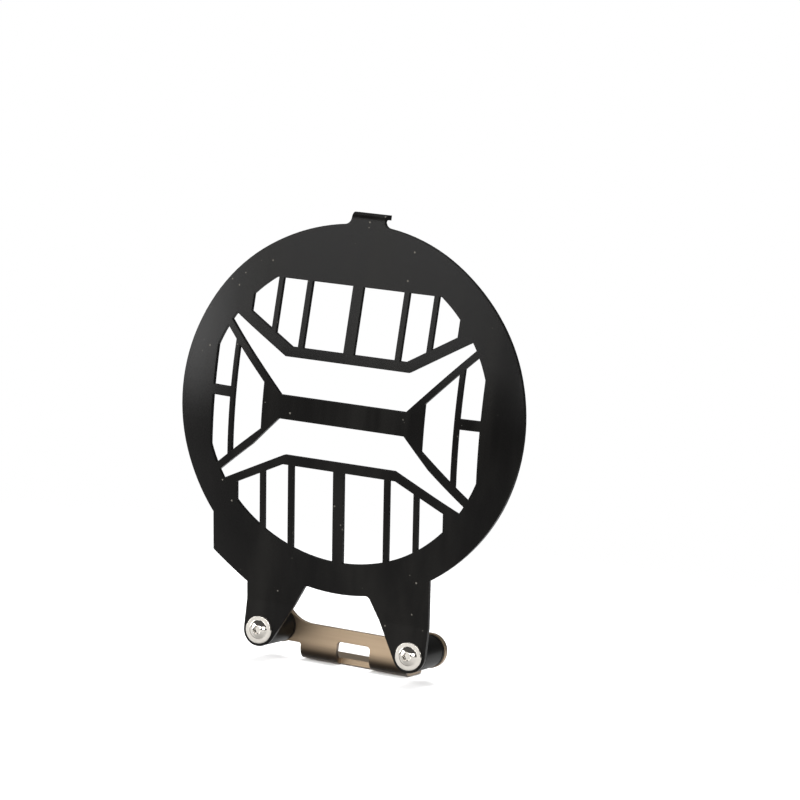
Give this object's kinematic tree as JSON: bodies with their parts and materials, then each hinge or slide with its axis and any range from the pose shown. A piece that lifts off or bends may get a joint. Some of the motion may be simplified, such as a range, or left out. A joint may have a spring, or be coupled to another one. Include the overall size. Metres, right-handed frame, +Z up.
{
  "type": "motorcycle headlight guard",
  "caption": "Round slotted sheet plate on two stand-off legs and a folded bracket, fixed in front of a motorcycle headlight to shield its lens.",
  "frame": {"origin": "on the underside of the bracket's flange, midway between its two fixing holes", "axes": "+Z up with the feet of the plate upright, -Y the way the headlight shines, +X to the right of a viewer in front"},
  "size_m": [0.186, 0.0749, 0.2324],
  "materials": {
    "black_coat": "satin powder coat",
    "satin_steel": "satin stainless",
    "black_rubber": "smooth",
    "tube_steel": "turned",
    "bright_steel": "polished stainless",
    "nut_steel": "plain stainless"
  },
  "bodies": {
    "root": {"guard_plate": "black_coat", "bracket": "satin_steel", "spacer_left": "black_rubber", "spacer_right": "black_rubber", "sleeve_left": "tube_steel", "sleeve_right": "tube_steel", "screw_left": "bright_steel", "screw_right": "bright_steel", "nut_left": "nut_steel", "nut_right": "nut_steel"}
  },
  "joints": []
}
